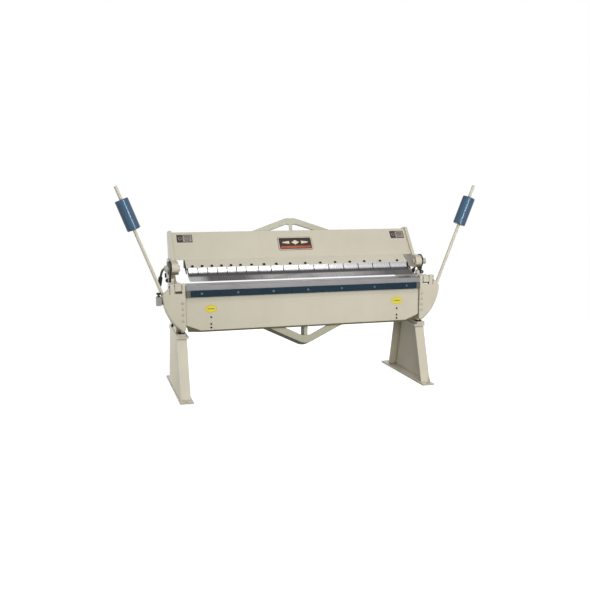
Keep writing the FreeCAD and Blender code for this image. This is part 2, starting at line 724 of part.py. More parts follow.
def weight_start():
    """Distance up the rod to a weight's lower end."""
    return (WEIGHT_LOW_Z - BED_Z - ROD_BASE[1]) / math.cos(math.radians(ROD_LEAN)) - 1


def counterweight():
    """Round steel weight that slides on the rod."""
    weight = Part.makeCylinder(WEIGHT_R, WEIGHT_LEN)
    weight = weight.makeFillet(6, [e for e in weight.Edges if e.Length > 200])
    weight = weight.cut(Part.makeCylinder(ROD_R + 0.08, WEIGHT_LEN + 2, V(0, 0, -1)))
    weight = weight.cut(Part.makeCylinder(M12_R + RUN_FIT, 60, V(0, 0, WEIGHT_LEN / 2), V(0, 1, 0)))
    return aim(weight, rod_point(weight_start()), rod_direction())


def weight_screw():
    """Locking screw in the back of a weight."""
    stem = Part.makeCylinder(6.0, 50, V(0, ROD_R + 1, WEIGHT_LEN / 2), V(0, 1, 0))
    bar = Part.makeCylinder(4, 44, V(-22, ROD_R + 50, WEIGHT_LEN / 2), V(1, 0, 0))
    return aim(stem.fuse(bar).removeSplitter(), rod_point(weight_start()), rod_direction())


def bend_stop():
    """Bend stop at the left wing's outer edge, held by a tab behind the wing, and its set screw."""
    middle, top = -1159.0, -80.0
    block = box(-1178, -1139.5, -19, 21, -146, top)
    block = block.makeChamfer(2, [e for e in block.Edges if e.Length > 60])
    block = block.fuse(box(-1145, -1110, 11, 21, -142, -114)).cut(mirrored(socket_block()))
    block = max(block.Solids, key=lambda piece: piece.Volume).removeSplitter()
    block = block.cut(Part.makeCylinder(5.05, 100, at(middle, 1, top - 70)))
    screw = Part.makeCylinder(5, 66, at(middle, 1, top - 50))
    nut = hexagon(12, 0, 8)
    knob = Part.makeCylinder(17, 13, at(middle, 1, top + 18))
    for i in range(10):
        turn = math.radians(36 * i)
        place = at(middle + 18.5 * math.cos(turn), 1 + 18.5 * math.sin(turn), top + 10)
        knob = knob.cut(Part.makeCylinder(3.2, 30, place))
    nut = moved(nut, middle, BEND_Y + 1, BED_Z + top + 0.05)
    collar = Part.makeCylinder(10, 6, at(middle, 1, top + 12.5))
    return Part.makeCompound([block, screw.fuse(nut).fuse(collar).fuse(knob).removeSplitter()])


def oval_label(x):
    outline = Part.Ellipse(V(0, 0, 0), 48, 30).toShape()
    face = Part.Face(Part.Wire([outline]))
    return aim(face.extrude(V(0, 0, 0.8)), at(x, -1, -187), V(0, -1, 0))


def build():
    keep_pair("pedestal", pedestal())
    keep_pair("end_frame", end_frame())
    keep("foot_bolts", foot_bolts())
    keep("bed_bar", bed_bar())
    keep("bed_web", bed_web())
    keep("bed_shelves", bed_shelves())
    keep("bed_ribs", bed_ribs())
    keep("bed_end_plates", bed_end_plates())
    keep("bed_bolts", bed_bolts())
    keep("hinge_bushes", hinge_bushes())
    keep("setback_screw_brackets", screw_bracket())
    keep_pair("saddle", saddle())
    keep("link_pins", link_pin())
    keep_pair("setback_screw", setback_screw())
    finger_groups()
    keep("finger_beam", finger_beam())
    keep("beam_end_plates", beam_end_plates())
    keep("finger_screws", finger_screws())
    keep("leaf_panel", leaf_panel())
    keep("leaf_ribs", leaf_ribs())
    keep("leaf_top_rail", leaf_top_rail())
    keep_pair("leaf_end", leaf_end())
    keep("upper_truss", upper_truss())
    keep("name_badge", name_badge())
    keep("data_plates", data_plates())
    keep_pair("clamp_shaft", clamp_shaft())
    keep_pair("lever_grip", lever_grip())
    keep_pair("clamp_link", clamp_link())
    keep("apron_plate", apron_plate())
    keep("plate_screws", plate_screws())
    keep("nose_bar", nose_bar())
    keep("angle_bar", angle_bar())
    keep("angle_bar_screws", angle_bar_screws())
    keep("end_blocks", end_blocks())
    keep_pair("wing", wing())
    keep("hinge_pins", hinge_pin())
    keep("backing_bars", backing_bars())
    keep("wing_bolts", wing_bolts())
    keep("lower_truss", lower_truss())
    keep_pair("counterweight_rod", counterweight_rod())
    keep("rod_sockets", both(rod_socket()))
    keep_pair("counterweight", counterweight())
    keep_pair("weight_screw", weight_screw())
    keep("bend_stop", bend_stop())
    keep("oval_labels", Part.makeCompound([oval_label(-766), oval_label(766)]))


build()
os.makedirs("parts", exist_ok=True)
for name, shape in NODES.items():
    shape.exportStep("parts/%s.step" % name)
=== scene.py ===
import json
import math
import random

import bmesh
import bpy
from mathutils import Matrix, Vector


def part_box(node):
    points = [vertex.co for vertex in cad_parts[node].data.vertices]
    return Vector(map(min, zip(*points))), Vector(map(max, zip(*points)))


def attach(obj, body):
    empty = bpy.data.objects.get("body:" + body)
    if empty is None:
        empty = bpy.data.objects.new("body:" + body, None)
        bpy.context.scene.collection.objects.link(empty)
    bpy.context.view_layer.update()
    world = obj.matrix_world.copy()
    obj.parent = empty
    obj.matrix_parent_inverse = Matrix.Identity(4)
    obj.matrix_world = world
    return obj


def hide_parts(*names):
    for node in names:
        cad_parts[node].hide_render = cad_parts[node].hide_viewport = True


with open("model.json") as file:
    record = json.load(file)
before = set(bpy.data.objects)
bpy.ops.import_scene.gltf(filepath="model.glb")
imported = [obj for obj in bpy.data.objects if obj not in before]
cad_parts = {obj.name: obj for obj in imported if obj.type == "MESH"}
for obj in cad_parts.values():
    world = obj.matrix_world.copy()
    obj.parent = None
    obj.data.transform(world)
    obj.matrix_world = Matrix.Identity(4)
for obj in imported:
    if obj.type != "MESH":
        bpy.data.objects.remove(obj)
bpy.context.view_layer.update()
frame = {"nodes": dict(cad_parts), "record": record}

NODES = frame["nodes"]
RECORD = frame["record"]
SLOT_OF = {row["node"]: row["material_slot"] for row in RECORD["subparts"]}
SIDES = (("left", -1.0), ("right", 1.0))
MM = 0.001
GRIP_AXIS = (0.0255, 0.7081, -0.7057)    # direction of the right lever's grip
GRIP_LENGTH = 0.105
COLLAR_OUTER, HUB_INNER = 0.988, 1.061   # a clamp shaft's collar and hub, distances from the middle
CLAMP_CENTRE = next(Vector(row["pos_m"]) for row in RECORD["behaviour"]["joints"]
                    if row["name"] == "right_clamp_turn")
PANEL_SLOPE = math.atan2(208.0, 160.0)   # rise over run of the leaf panel
random.seed(7)


# ---------------------------------------------------------------- shader helpers
def colour(red, green, blue):
    """An 8-bit display colour as scene-linear RGBA."""
    def linear(value):
        value /= 255.0
        return value / 12.92 if value <= 0.04045 else ((value + 0.055) / 1.055) ** 2.4
    return (linear(red), linear(green), linear(blue), 1.0)


def scaled(rgba, factor):
    return tuple(min(1.0, factor * value) for value in rgba[:3]) + (1.0,)


class Shader:
    """A material under construction: each call adds nodes and returns the socket to use next."""

    def __init__(self, name):
        self.material = bpy.data.materials.new(name)
        self.material.use_nodes = True
        self.tree = self.material.node_tree
        self.tree.nodes.clear()
        self.surface = self.add("ShaderNodeBsdfPrincipled")
        output = self.add("ShaderNodeOutputMaterial")
        self.tree.links.new(self.surface.outputs[0], output.inputs[0])
        self.place = self.add("ShaderNodeTexCoord").outputs["Object"]

    def add(self, kind, inputs=None, **settings):
        made = self.tree.nodes.new(kind)
        for key, value in settings.items():
            setattr(made, key, value)
        for key, value in (inputs or {}).items():
            self.plug(made.inputs[key], value)
        return made

    def plug(self, socket, value):
        if isinstance(value, bpy.types.NodeSocket):
            self.tree.links.new(value, socket)
        else:
            socket.default_value = value

    def set(self, **inputs):
        for key, value in inputs.items():
            self.plug(self.surface.inputs[key.replace("_", " ")], value)

    def underside(self):
        """High on faces that look down when the machine stands at rest."""
        facing = self.add("ShaderNodeTexCoord").outputs["Normal"]
        return self.ramp(self.add("ShaderNodeSeparateXYZ", {0: facing}).outputs[2], -0.30, -0.62)

    def axes(self):
        return self.add("ShaderNodeSeparateXYZ", {0: self.place}).outputs

    def stretched(self, scale):
        """Coordinates scaled by a different factor along each axis."""
        return self.add("ShaderNodeMapping", {"Vector": self.place, "Scale": scale}).outputs[0]

    def noise(self, scale, detail=2.0, rough=0.5, place=None):
        made = self.add("ShaderNodeTexNoise", {"Vector": place or self.place, "Scale": scale,
                                               "Detail": detail, "Roughness": rough})
        return made.outputs["Fac"]

    def ramp(self, value, low, high, to_low=0.0, to_high=1.0):
        made = self.add("ShaderNodeMapRange", {0: value, 1: low, 2: high, 3: to_low, 4: to_high})
        return made.outputs[0]

    def math(self, operation, a, b=0.0):
        return self.add("ShaderNodeMath", {0: a, 1: b}, operation=operation).outputs[0]

    def mix(self, share, first, second):
        made = self.add("ShaderNodeMix", data_type="RGBA")
        self.plug(made.inputs[0], share)
        self.plug(made.inputs[6], first)
        self.plug(made.inputs[7], second)
        return made.outputs[2]

    def bump(self, height, strength, distance, normal=None):
        inputs = {"Height": height, "Strength": strength, "Distance": distance}
        if normal is not None:
            inputs["Normal"] = normal
        return self.add("ShaderNodeBump", inputs).outputs[0]

    def edge_mask(self, radius):
        """High where the surface turns sharply within the radius."""
        rounded = self.add("ShaderNodeBevel", {"Radius": radius}, samples=4).outputs[0]
        flat = self.add("ShaderNodeNewGeometry").outputs["Normal"]
        dot = self.add("ShaderNodeVectorMath", {0: rounded, 1: flat}, operation="DOT_PRODUCT")
        return self.ramp(dot.outputs["Value"], 0.97, 0.75)

    def crevice(self, distance, dark):
        """Painted shade: a factor from dark, deep in gaps and corners, up to 1 on open faces."""
        shade = self.add("ShaderNodeAmbientOcclusion", {"Distance": distance}, samples=6)
        return self.ramp(shade.outputs["AO"], 0.25, 0.85, dark, 1.0)

    def dim(self, rgba, factor):
        grey = self.add("ShaderNodeCombineColor", {0: factor, 1: factor, 2: factor}).outputs[0]
        made = self.add("ShaderNodeMix", {0: 1.0}, data_type="RGBA", blend_type="MULTIPLY")
        self.plug(made.inputs[6], rgba)
        self.plug(made.inputs[7], grey)
        return made.outputs[2]


# ---------------------------------------------------------------- materials
def enamel(name, base, shade, gloss=0.34, peel=1.0, chip=colour(126, 121, 108),
           primer=colour(118, 116, 88), corner_shade=0.45, shine=0.5, flop=0.0):
    """Sprayed enamel: mottling, orange peel, rubbed edges, painted shade in corners and on faces that look
    down.

    The painted facing light brightens the faces that are seen square on, and darkens those seen at a
    glancing angle: a painted highlight and painted shade."""
    s = Shader(name)
    mottle = s.ramp(s.noise(2.3, 4.0, 0.6), 0.35, 0.7, 0.0, 0.5)
    film = s.mix(mottle, base, shade)
    runs = s.ramp(s.noise(1.0, 3.0, 0.6, s.stretched((14.0, 14.0, 2.0))), 0.45, 0.8, 0.0, 0.2)
    film = s.mix(runs, film, shade)
    specks = s.ramp(s.noise(190.0, 3.0, 0.7), 0.54, 0.66)
    rubbed = s.math("MULTIPLY", s.edge_mask(1.8 * MM), specks)
    film = s.mix(s.math("MULTIPLY", rubbed, 0.55), film, chip)
    # Painted shade on the faces that look down.
    film = s.mix(s.underside(), film, primer)
    # Painted shade in gaps and corners.
    film = s.dim(film, s.crevice(22 * MM, corner_shade))
    # Painted highlight where a face is seen square on, painted shade where it is seen at a glancing angle.
    glance = s.add("ShaderNodeLayerWeight", {"Blend": 0.5}).outputs["Facing"]
    film = s.dim(film, s.ramp(glance, 0.05, 0.7, 1.0 + flop, 1.0 - flop))
    handling = s.ramp(s.noise(7.0, 5.0, 0.65), 0.4, 0.75, -0.05, 0.1)
    s.set(Base_Color=film, Roughness=s.math("ADD", handling, gloss))
    s.set(Specular_IOR_Level=shine, Coat_Weight=0.6 * shine, Coat_Roughness=0.18)
    peeled = s.bump(s.noise(520.0, 2.0), 0.10 * peel, 0.4 * MM)
    s.set(Normal=s.bump(s.noise(38.0, 2.0), 0.05 * peel, 2.0 * MM, peeled))
    return s.material


def ground_steel(name, base, grain, rough=0.26, lines=1.0):
    """Ground steel: fine straight scratches, light stains and painted shade in corners."""
    s = Shader(name)
    scratch = s.noise(1.0, 3.0, 0.7, s.stretched(grain))
    fine = s.noise(1.0, 2.0, 0.6, s.stretched(tuple(3.1 * g for g in grain)))
    stain = s.ramp(s.noise(5.0, 5.0, 0.65), 0.42, 0.72, 0.0, 0.22)
    tone = s.mix(s.math("MULTIPLY", scratch, 0.4), base, scaled(base, 0.74))
    tone = s.mix(stain, tone, colour(118, 112, 104))
    # Painted shade in corners.
    s.set(Base_Color=s.dim(tone, s.crevice(14 * MM, 0.25)), Metallic=1.0)
    s.set(Roughness=s.math("ADD", s.math("MULTIPLY", fine, 0.18 * lines), rough))
    s.set(Anisotropic=0.35)
    s.set(Normal=s.bump(scratch, 0.05 * lines, 0.3 * MM))
    return s.material


def finger_steel(name):
    """Finger finish by height: scaly toe, a dark band, and a brightly ground face above, painted lighter
    at its foot as a reflection.

    The toes carry a painted reflection of their surroundings in stretches along the machine, and the gaps
    between the fingers are painted dark as shade behind the plane of the ground faces."""
    s = Shader(name)
    nose_y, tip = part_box("fingers_3_inch")[0].yz
    toe_top, face_foot, face_top = tip + 31 * MM, tip + 48 * MM, tip + 90 * MM
    face_y, face_z, face_lean = nose_y + 124 * MM, tip + 64 * MM, math.atan(0.5)
    across, depth, height = s.axes()
    band = colour(100, 97, 99)
    # Painted reflection: the ground face lighter at its foot, darker towards its top.
    bright = s.mix(s.ramp(height, face_foot, face_top), colour(230, 230, 231), colour(194, 193, 194))
    scratch = s.noise(1.0, 3.0, 0.7, s.stretched((520.0, 4.0, 4.0)))
    waves = s.noise(1.0, 3.0, 0.55, s.stretched((3.4, 9.0, 9.0)))
    # Painted reflection on the toes: light stretches along the machine, broken up by waves.
    toe_reflection = s.math("MULTIPLY", s.ramp(across, -0.50, -0.28), s.ramp(across, 0.70, 0.35))
    toe_reflection = s.math("MULTIPLY", s.math("ADD", toe_reflection, 0.15), s.ramp(waves, 0.32, 0.58, 0.45, 1.0))
    toe = s.mix(toe_reflection, colour(108, 102, 108), colour(240, 238, 238))
    # Painted reflection: white at the toes' left end.
    toe = s.mix(s.ramp(across, -0.76, -0.84), toe, colour(252, 252, 252))
    tone = s.mix(s.ramp(height, toe_top - 2 * MM, toe_top + 2 * MM), toe, band)
    tone = s.mix(s.ramp(height, face_foot - 1 * MM, face_foot + 2 * MM), tone, bright)
    tone = s.mix(s.ramp(height, face_top, face_top + 4 * MM), tone, colour(170, 170, 172))
    tone = s.mix(s.math("MULTIPLY", scratch, 0.22), tone, colour(170, 169, 170))
    # Painted shade in the gaps between the fingers, behind the plane of the ground faces.
    inward = s.math("MULTIPLY", s.math("SUBTRACT", depth, face_y), math.cos(face_lean))
    upward = s.math("MULTIPLY", s.math("SUBTRACT", height, face_z), math.sin(face_lean))
    behind = s.math("SUBTRACT", inward, upward)
    tone = s.mix(s.ramp(behind, 1.5 * MM, 3.5 * MM), tone, colour(38, 34, 32))
    # Strong painted shade in the gaps and corners.
    s.set(Base_Color=s.dim(tone, s.crevice(7 * MM, 0.05)), Metallic=0.85)
    s.set(Roughness=s.ramp(scratch, 0.3, 0.7, 0.24, 0.36))
    s.set(Normal=s.bump(scratch, 0.05, 0.3 * MM))
    return s.material


def cast(name, base, shade):
    """Painted rough casting, with painted shade in its hollows."""
    s = Shader(name)
    film = s.mix(s.ramp(s.noise(30.0, 5.0, 0.7), 0.4, 0.7), base, shade)
    # Painted shade in hollows.
    s.set(Base_Color=s.dim(film, s.crevice(12 * MM, 0.3)))
    s.set(Roughness=s.ramp(s.noise(60.0, 3.0), 0.3, 0.7, 0.38, 0.6))
    s.set(Normal=s.bump(s.noise(260.0, 3.0, 0.6), 0.25, 0.5 * MM))
    return s.material


def plated(name, base, rough, metallic=1.0):
    """Fastener finish: zinc or black oxide, with fine mottling, brighter worn edges and painted shade in
    hollows.
    """
    s = Shader(name)
    tone = s.mix(s.ramp(s.noise(120.0, 3.0, 0.6), 0.35, 0.7), base, scaled(base, 0.75))
    worn = s.math("MULTIPLY", s.edge_mask(0.6 * MM), 0.6)
    tone = s.mix(worn, tone, scaled(tuple(c + 0.03 for c in base), 1.6))
    # Painted shade in hollows.
    s.set(Base_Color=s.dim(tone, s.crevice(5 * MM, 0.2)), Metallic=metallic)
    s.set(Roughness=s.ramp(s.noise(300.0, 2.0), 0.3, 0.7, rough, rough + 0.15))
    s.set(Normal=s.bump(s.noise(420.0, 2.0), 0.06, 0.2 * MM))
    return s.material


def shaft_finish(name):
    """Clamp shaft: cream inner collar, bare steel, a pale painted hub and a blackened lever."""
    s = Shader(name)
    hub_rim = 26 * MM
    across, depth, height = s.axes()
    beside = s.math("ABSOLUTE", across)
    away = s.add("ShaderNodeVectorMath", {
        0: s.add("ShaderNodeCombineXYZ", {1: depth, 2: height}).outputs[0],
        1: (0.0, CLAMP_CENTRE.y, CLAMP_CENTRE.z)}, operation="DISTANCE").outputs["Value"]
    mottle = s.noise(40.0, 4.0, 0.6)
    steel = s.mix(mottle, colour(190, 190, 192), colour(160, 160, 162))
    hub = s.ramp(beside, HUB_INNER, HUB_INNER + 0.5 * MM)
    lever = s.math("MULTIPLY", hub, s.ramp(away, hub_rim, hub_rim + 1 * MM))
    collar = s.ramp(beside, COLLAR_OUTER, COLLAR_OUTER - 0.5 * MM)
    tone = s.mix(hub, steel, s.mix(mottle, colour(186, 190, 174), colour(170, 174, 156)))
    tone = s.mix(collar, tone, colour(205, 198, 178))
    tone = s.mix(lever, tone, colour(40, 38, 36))
    painted = s.math("MAXIMUM", hub, collar)
    # Painted shade in hollows.
    s.set(Base_Color=s.dim(tone, s.crevice(10 * MM, 0.3)), Metallic=s.math("SUBTRACT", 1.0, painted))
    s.set(Roughness=s.ramp(s.noise(200.0, 2.0), 0.3, 0.7, 0.3, 0.45))
    s.set(Normal=s.bump(s.noise(300.0, 2.0), 0.06, 0.3 * MM))
    return s.material


def link_finish(name):
    """Clamp link: a dark casting with a ground outer face."""
    s = Shader(name)
    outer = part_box("right_clamp_link")[1].x
    beside = s.math("ABSOLUTE", s.axes()[0])
    rough = s.mix(s.ramp(s.noise(30.0, 5.0, 0.7), 0.4, 0.7), colour(40, 39, 36), colour(60, 58, 53))
    ground = s.mix(s.noise(40.0, 4.0, 0.6), colour(204, 200, 188), colour(178, 174, 162))
    tone = s.mix(s.ramp(beside, outer - 1.2 * MM, outer - 0.8 * MM), rough, ground)
    # Painted shade in hollows.
    s.set(Base_Color=s.dim(tone, s.crevice(12 * MM, 0.3)))
    s.set(Roughness=s.ramp(s.noise(60.0, 3.0), 0.3, 0.7, 0.35, 0.55))
    s.set(Normal=s.bump(s.noise(260.0, 3.0, 0.6), 0.2, 0.5 * MM))
    return s.material


def stop_finish(name):
    """Grey-green block with a black screw and knob above it."""
    s = Shader(name)
    screw_height = 31 * MM
    block_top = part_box("bend_stop")[1].z - screw_height
    film = s.mix(s.ramp(s.noise(40.0, 4.0, 0.6), 0.35, 0.7), colour(160, 166, 154), colour(140, 146, 134))
    above = s.ramp(s.axes()[2], block_top, block_top + 0.5 * MM)
    film = s.mix(above, film, colour(34, 33, 32))
    # Painted shade in hollows.
    s.set(Base_Color=s.dim(film, s.crevice(8 * MM, 0.3)))
    s.set(Roughness=s.ramp(s.noise(200.0, 2.0), 0.3, 0.7, 0.35, 0.5))
    s.set(Normal=s.bump(s.noise(300.0, 2.0), 0.1, 0.3 * MM))
    return s.material


def rubber(name):
    s = Shader(name)
    s.set(Base_Color=s.mix(s.noise(60.0, 3.0), colour(26, 26, 27), colour(44, 43, 42)))
    s.set(Roughness=s.ramp(s.noise(90.0, 3.0), 0.3, 0.7, 0.55, 0.8))
    s.set(Normal=s.bump(s.noise(800.0, 2.0), 0.2, 0.2 * MM))
    return s.material


def make_materials():
    return {
        "cream_paint": enamel("cream_paint", colour(208, 202, 184), colour(195, 188, 168)),
        # A lighter copy of the cream paint for the finger beam: painted light, so its flare looks as
        # bright as the panel.
        "beam_paint": enamel("beam_paint", colour(222, 216, 198), colour(210, 204, 186)),
        # A darker, greener copy of the cream paint for the braces: painted shade.
        "truss_paint": enamel("truss_paint", colour(180, 178, 157), colour(166, 164, 142)),
        # Dark grey steel for the end blocks: painted shade, the blocks coloured as they look in shadow.
        "block_steel": ground_steel("block_steel", colour(126, 124, 112), (60.0, 60.0, 60.0), 0.4),
        "stop_finish": stop_finish("stop_finish"),
        "link_finish": link_finish("link_finish"),
        "shaft_finish": shaft_finish("shaft_finish"),
        # Dark blue paint, with painted shade on its faces that look down.
        "dark_blue_paint": enamel("dark_blue_paint", colour(30, 52, 66), colour(24, 42, 54), 0.3,
                                  primer=colour(18, 26, 34), shine=0.15),
        # Weight paint: painted highlight where seen square on, painted shade at the rims and underneath.
        "blue_paint": enamel("blue_paint", colour(42, 78, 104), colour(32, 62, 86), 0.24, 0.12,
                             colour(150, 160, 165), colour(30, 52, 70), flop=0.45),
        "machined_steel": ground_steel("machined_steel", colour(210, 209, 212),
                                       (3.0, 700.0, 700.0)),
        # A darker copy of the machined steel for the nose bar: painted shade, standing in for the darker
        # surroundings it mirrors.
        "nose_steel": ground_steel("nose_steel", colour(172, 171, 173), (3.0, 700.0, 700.0)),
        "finger_steel": finger_steel("finger_steel"),
        "bright_screws": plated("bright_screws", colour(120, 140, 158), 0.25),
        "black_screws": plated("black_screws", colour(34, 33, 32), 0.35, 0.6),
        "dark_casting": cast("dark_casting", colour(34, 34, 31), colour(52, 51, 47)),
        "bronze": plated("bronze", colour(150, 118, 66), 0.3),
        "black_grip": rubber("black_grip"),
        "badge": cast("badge", colour(46, 30, 26), colour(58, 40, 34)),
        "badge_cream": enamel("badge_cream", colour(226, 214, 190), colour(214, 200, 174), 0.3, 0.3),
        "badge_brown": enamel("badge_brown", colour(170, 84, 52), colour(150, 70, 42), 0.3, 0.3),
        "data_plate": cast("data_plate", colour(64, 56, 54), colour(52, 46, 44)),
        "data_field": enamel("data_field", colour(170, 160, 152), colour(150, 140, 132), 0.4, 0.3),
        "yellow_label": enamel("yellow_label", colour(230, 216, 66), colour(222, 206, 58), 0.4, 0.2),
        "label_mark": enamel("label_mark", colour(150, 136, 40), colour(138, 124, 36), 0.4, 0.2),
    }


MATERIALS = make_materials()

# Edge rounding of each node, in millimetres; fasteners keep their own edges.
SOFT_EDGES = {
    "pedestal": 1.5, "end_frame": 2.5, "saddle": 2.0, "leaf_end": 2.5, "wing": 1.5,
    "clamp_link": 1.0,
    "bed_bar": 0.6, "bed_web": 1.0, "bed_shelves": 1.0, "bed_ribs": 1.0, "bed_end_plates": 1.0,
    "leaf_panel": 1.0, "leaf_ribs": 1.0, "leaf_top_rail": 1.0, "upper_truss": 1.5,
    "beam_end_plates": 0.6, "apron_plate": 1.2, "nose_bar": 0.5,
    "angle_bar": 0.8, "end_blocks": 0.6, "backing_bars": 1.0, "lower_truss": 1.5,
    "rod_sockets": 1.2, "setback_screw_brackets": 1.2,
}

# Nodes whose finish differs from the rest of their slot; the beam, the braces, the end blocks and the nose
# bar differ by painted light or shade.
SPECIAL_FINISH = {"finger_beam": "beam_paint", "end_blocks": "block_steel", "bend_stop": "stop_finish",
                  "upper_truss": "truss_paint", "lower_truss": "truss_paint", "nose_bar": "nose_steel",
                  "left_clamp_shaft": "shaft_finish", "right_clamp_shaft": "shaft_finish",
                  "left_clamp_link": "link_finish", "right_clamp_link": "link_finish"}


def soften(node, width):
    """Round a CAD node's sharp edges with modifiers, and shade its flat faces as flat."""
    weld = node.modifiers.new("weld", "WELD")
    weld.merge_threshold = 0.01 * MM
    soft = node.modifiers.new("soft_edges", "BEVEL")
    soft.width = width
    soft.segments = 2
    soft.limit_method = "ANGLE"
    soft.angle_limit = math.radians(32)
    soft.use_clamp_overlap = True
    shading = node.modifiers.new("shading", "WEIGHTED_NORMAL")
    shading.weight = 100


def dress_cad_nodes():
    """Give every CAD node its finish and its soft edges."""
    for name, node in NODES.items():
        node.data.materials.clear()
        node.data.materials.append(MATERIALS[SPECIAL_FINISH.get(name, SLOT_OF[name])])
        plain = name.replace("left_", "").replace("right_", "")
        if plain in SOFT_EDGES:
            soften(node, SOFT_EDGES[plain] * MM)


dress_cad_nodes()


# ---------------------------------------------------------------- mesh helpers
def make_piece(name, bm, body, material, smooth_angle=35.0):
    """Turn a bmesh into a named piece on a body."""
    bmesh.ops.remove_doubles(bm, verts=bm.verts, dist=1e-6)
    bmesh.ops.recalc_face_normals(bm, faces=bm.faces)
    mesh = bpy.data.meshes.new(name)
    bm.to_mesh(mesh)
    bm.free()
    piece = bpy.data.objects.new(name, mesh)
    bpy.context.scene.collection.objects.link(piece)
    for face in mesh.polygons:
        face.use_smooth = True
    mesh.set_sharp_from_angle(angle=math.radians(smooth_angle))
    mesh.materials.append(MATERIALS[material])
    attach(piece, body)
    return piece


def frame_along(direction):
    """Two unit vectors square to a direction."""
    direction = direction.normalized()
    helper = Vector((1, 0, 0)) if abs(direction.x) < 0.9 else Vector((0, 1, 0))
    across = direction.cross(helper).normalized()
    return across, direction.cross(across).normalized()


def add_rings(bm, rings):
    """Skin a row of equal rings of points into a closed body."""
    made = [[bm.verts.new(point) for point in ring] for ring in rings]
    count = len(made[0])
    for low, high in zip(made, made[1:]):
        for i in range(count):
            j = (i + 1) % count
            bm.faces.new((low[i], low[j], high[j], high[i]))
    bm.faces.new(list(reversed(made[0])))
    bm.faces.new(made[-1])


def add_lathe(bm, start, direction, profile, sides=32, flutes=0, depth=0.0):
    """Turned body: (distance, radius) pairs along an axis, with optional flutes around it."""
    across, up = frame_along(direction)
    axis = direction.normalized()
    rings = []
    for distance, radius in profile:
        ring = []
        for i in range(sides):
            turn = 2 * math.pi * i / sides
            size = radius - depth * max(0.0, math.cos(flutes * turn)) ** 2 if flutes else radius
            ring.append(start + axis * distance + (across * math.cos(turn) + up * math.sin(turn)) * size)
        rings.append(ring)
    add_rings(bm, rings)


def add_bead(bm, start, end, radius=0.0042, pitch=0.0065):
    """Weld bead: a rippled strand between two points."""
    start, end = Vector(start), Vector(end)
    across, up = frame_along(end - start)
    sides, wander = 8, 0.3 * MM
    ripple = (0.78, 1.0, 0.92)
    count = max(3, round((end - start).length / pitch)) * len(ripple)
    rings = []
    for i in range(count + 1):
        swell = ripple[i % len(ripple)] * random.uniform(0.93, 1.07)
        if i in (0, count):
            swell = 0.35
        centre = start.lerp(end, i / count) + across * random.uniform(-1, 1) * wander
        spokes = [across * math.cos(turn) + up * math.sin(turn)
                  for turn in (2 * math.pi * k / sides for k in range(sides))]
        rings.append([centre + spoke * radius * swell for spoke in spokes])
    add_rings(bm, rings)


def add_prism(bm, outline, step):
    """A flat outline of points, thickened by a step and slightly chamfered on its far side."""
    centre = sum(outline, Vector()) / len(outline)
    reach = max((point - centre).length for point in outline)
    inset = 1.0 - 0.4 * step.length / reach
    far = [centre + (point - centre) * inset + step for point in outline]
    shoulder = [point + step * 0.6 for point in outline]
    add_rings(bm, [outline, shoulder, far])


def mirror_x(point, sign):
    return (sign * point[0], point[1], point[2])


# ---------------------------------------------------------------- extra pieces
def build_leg_welds():
    """Fillet welds inside each leg: web to flanges, floor plate and cap."""
    foot_t, cap_t, flange_t = 0.012, 0.015, 0.010
    web_in, web_out = 1.019, 1.027
    flange_in, flange_out = 0.952, 1.025
    front_inset, back_inset = (0.060, 0.206), (0.131, 0.239)   # of the flanges, at the foot and the cap
    for side, sign in SIDES:
        low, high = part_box(side + "_pedestal")
        foot, cap = low.z + foot_t, high.z - cap_t
        front_low, front_high = (low.y + inset + flange_t for inset in front_inset)
        back_low, back_high = (high.y - inset - flange_t for inset in back_inset)
        front, back = front_low - flange_t, back_low + flange_t
        runs = [((web_in, front_low, foot), (web_in, back_low, foot)),
                ((web_in, front_low, foot), (web_in, front_high, cap)),
                ((web_in, back_low, foot), (web_in, back_high, cap)),
                ((web_in, front_high, cap), (web_in, back_high, cap)),
                ((flange_in, front, foot), (flange_out, front, foot)),
                ((flange_in, back, foot), (flange_out, back, foot)),
                ((web_out, front_low, foot), (web_out, back_low, foot))]
        bm = bmesh.new()
        for start, end in runs:
            add_bead(bm, mirror_x(start, sign), mirror_x(end, sign))
        make_piece(side + "_leg_welds", bm, "stand", "cream_paint", 60)


def build_truss_welds():
    """Welds where the braces meet the leaf's top rail and the apron's flange."""
    radius, sink = 3.8 * MM, 1 * MM
    upper_spans = ((-0.348, -0.214), (-0.0125, 0.0125), (0.214, 0.348))
    lower_spans = ((-0.182, -0.298), (0.182, 0.298))
    low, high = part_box("upper_truss")
    bm = bmesh.new()
    for start, end in upper_spans:
        add_bead(bm, (start, low.y, low.z + sink), (end, low.y, low.z + sink), radius)
    make_piece("upper_truss_welds", bm, "leaf", "cream_paint", 60)
    low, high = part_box("lower_truss")
    bm = bmesh.new()
    for start, end in lower_spans:
        add_bead(bm, (start, low.y, high.z - sink), (end, low.y, high.z - sink), radius)
    make_piece("lower_truss_welds", bm, "apron", "cream_paint", 60)


def panel_spot(x, along, out=0.0):
    """A point on the leaf panel's front: metres up its slope from its lower edge, and out from it."""
    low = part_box("leaf_panel")[0]
    run, rise = math.cos(PANEL_SLOPE), math.sin(PANEL_SLOPE)
    return Vector((x, low.y + along * run - out * rise, low.z + along * rise + out * run))


def build_end_plate_welds():
    """Welds in the corners between the panel and the leaf's end plates."""
    edge, foot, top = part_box("leaf_panel")[1].x, 0.004, 0.256
    bm = bmesh.new()
    for sign in (-1, 1):
        add_bead(bm, panel_spot(sign * edge, foot), panel_spot(sign * edge, top), 3.5 * MM)
    make_piece("end_plate_welds", bm, "leaf", "cream_paint", 60)


